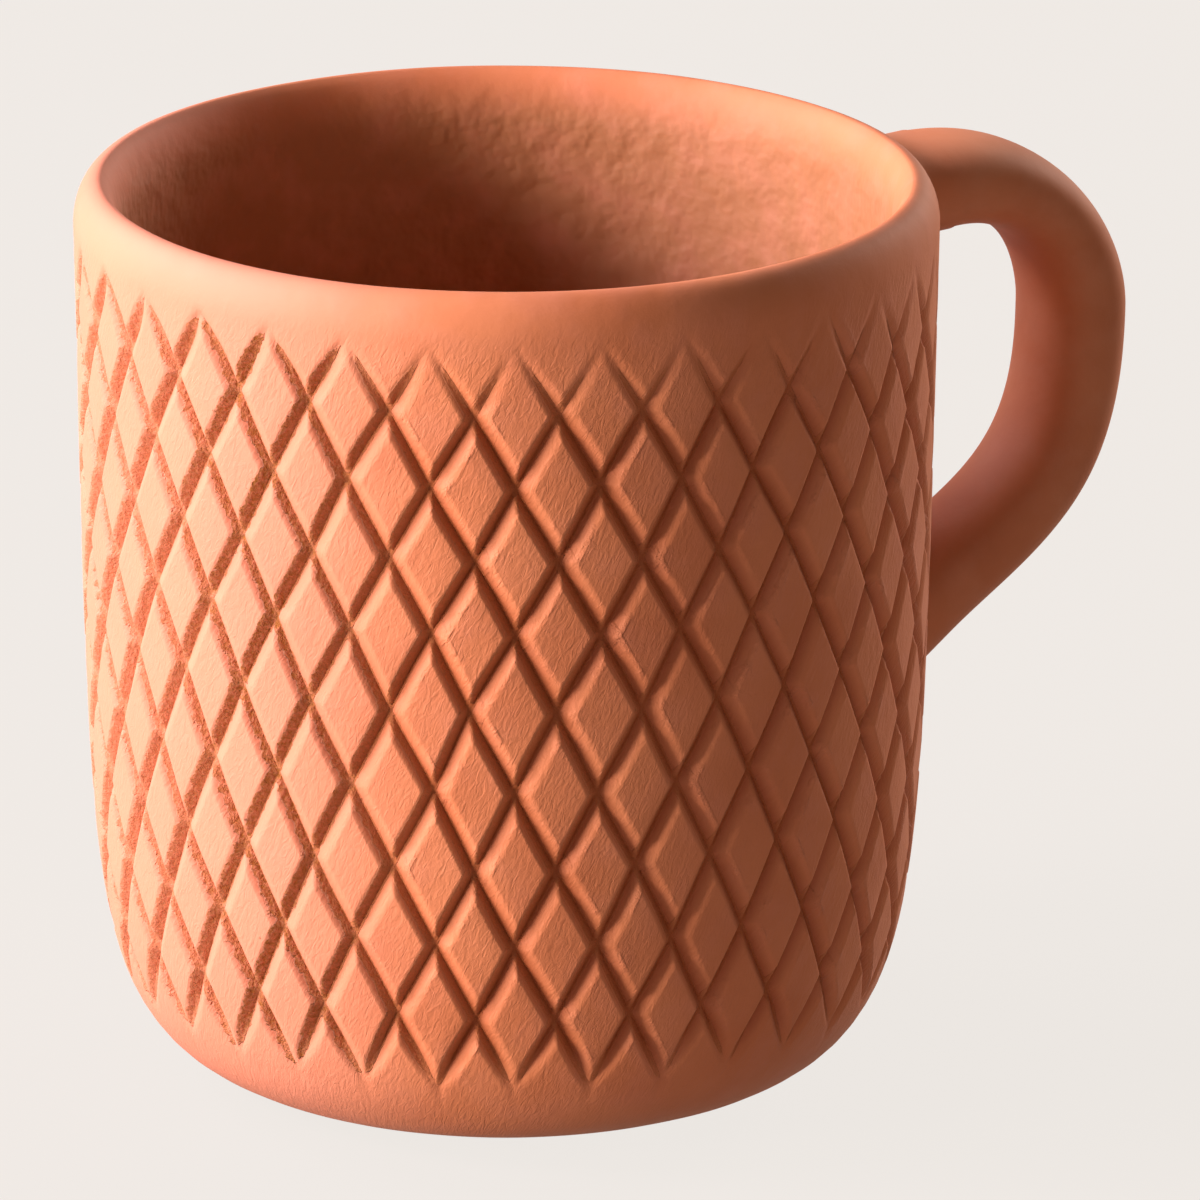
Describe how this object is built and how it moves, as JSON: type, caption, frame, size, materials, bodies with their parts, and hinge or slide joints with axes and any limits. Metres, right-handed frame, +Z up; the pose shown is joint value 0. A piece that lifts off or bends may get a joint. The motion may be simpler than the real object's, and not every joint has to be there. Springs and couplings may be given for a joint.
{
  "type": "clay mug",
  "caption": "Thrown cup of unglazed red clay with a diamond lattice cut round its wall, a rounded rim, and a pulled strap handle luted on with slip.",
  "frame": {"origin": "centre of the foot, on the plane that the cup stands on", "axes": "+Z up through the mouth, +X from the cup's axis towards the handle; the part is symmetric about the XZ plane"},
  "size_m": [0.1138, 0.0856, 0.0913],
  "materials": {
    "body_clay": "unglazed, matte",
    "handle_clay": "unglazed, smoothed with a wet hand",
    "slip_clay": "unglazed slip, matte"
  },
  "bodies": {
    "root": {"cup_body": "body_clay", "handle": "handle_clay", "upper_slip_joint": "slip_clay", "lower_slip_joint": "slip_clay"}
  },
  "joints": []
}
